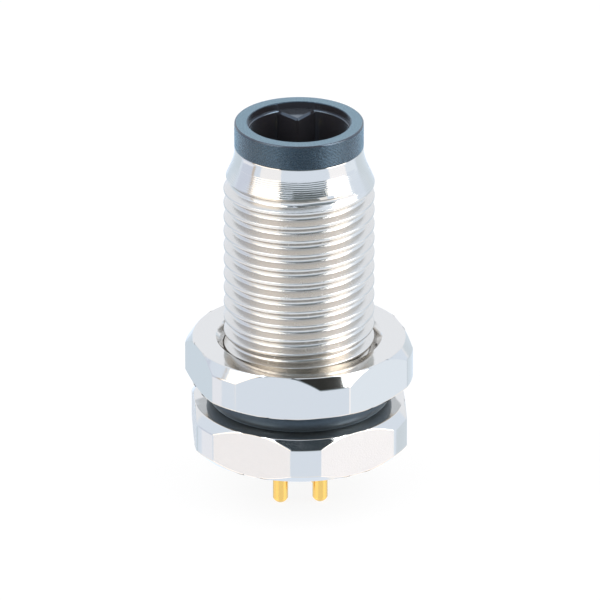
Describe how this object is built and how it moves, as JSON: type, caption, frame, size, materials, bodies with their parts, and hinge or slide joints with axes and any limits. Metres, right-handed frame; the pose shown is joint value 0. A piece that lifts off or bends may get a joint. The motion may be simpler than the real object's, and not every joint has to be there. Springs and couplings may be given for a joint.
{
  "type": "panel-mount circular connector",
  "caption": "Male panel-mount circular connector: fine-threaded nickel-plated shell with hexagon flange, O-ring and hexagon nut, black keyed insert and gold pins with solder tails.",
  "frame": {"origin": "on the axis, in the flange's front face, which is the panel seat", "axes": "+Z along the axis to the mating end, +Y to the side of the key in the mouth"},
  "size_m": [0.0074, 0.0074, 0.0133],
  "materials": {
    "nickel_plate": "bright nickel plating on turned brass",
    "insert_plastic": "moulded black polyamide",
    "seal_rubber": "black nitrile rubber",
    "gold_plate": "gold plating on turned copper alloy"
  },
  "bodies": {
    "body": {"shell": "nickel_plate", "insert": "insert_plastic", "insert_seal": "seal_rubber", "contact_1": "gold_plate", "contact_2": "gold_plate", "contact_3": "gold_plate", "panel_seal": "seal_rubber"},
    "nut": {"panel_nut": "nickel_plate"}
  },
  "joints": [
    {"name": "nut_travel", "type": "slide", "parent": "body", "child": "nut", "axis": [0, 0, 1], "range_m": [0, 0.0055]}
  ]
}
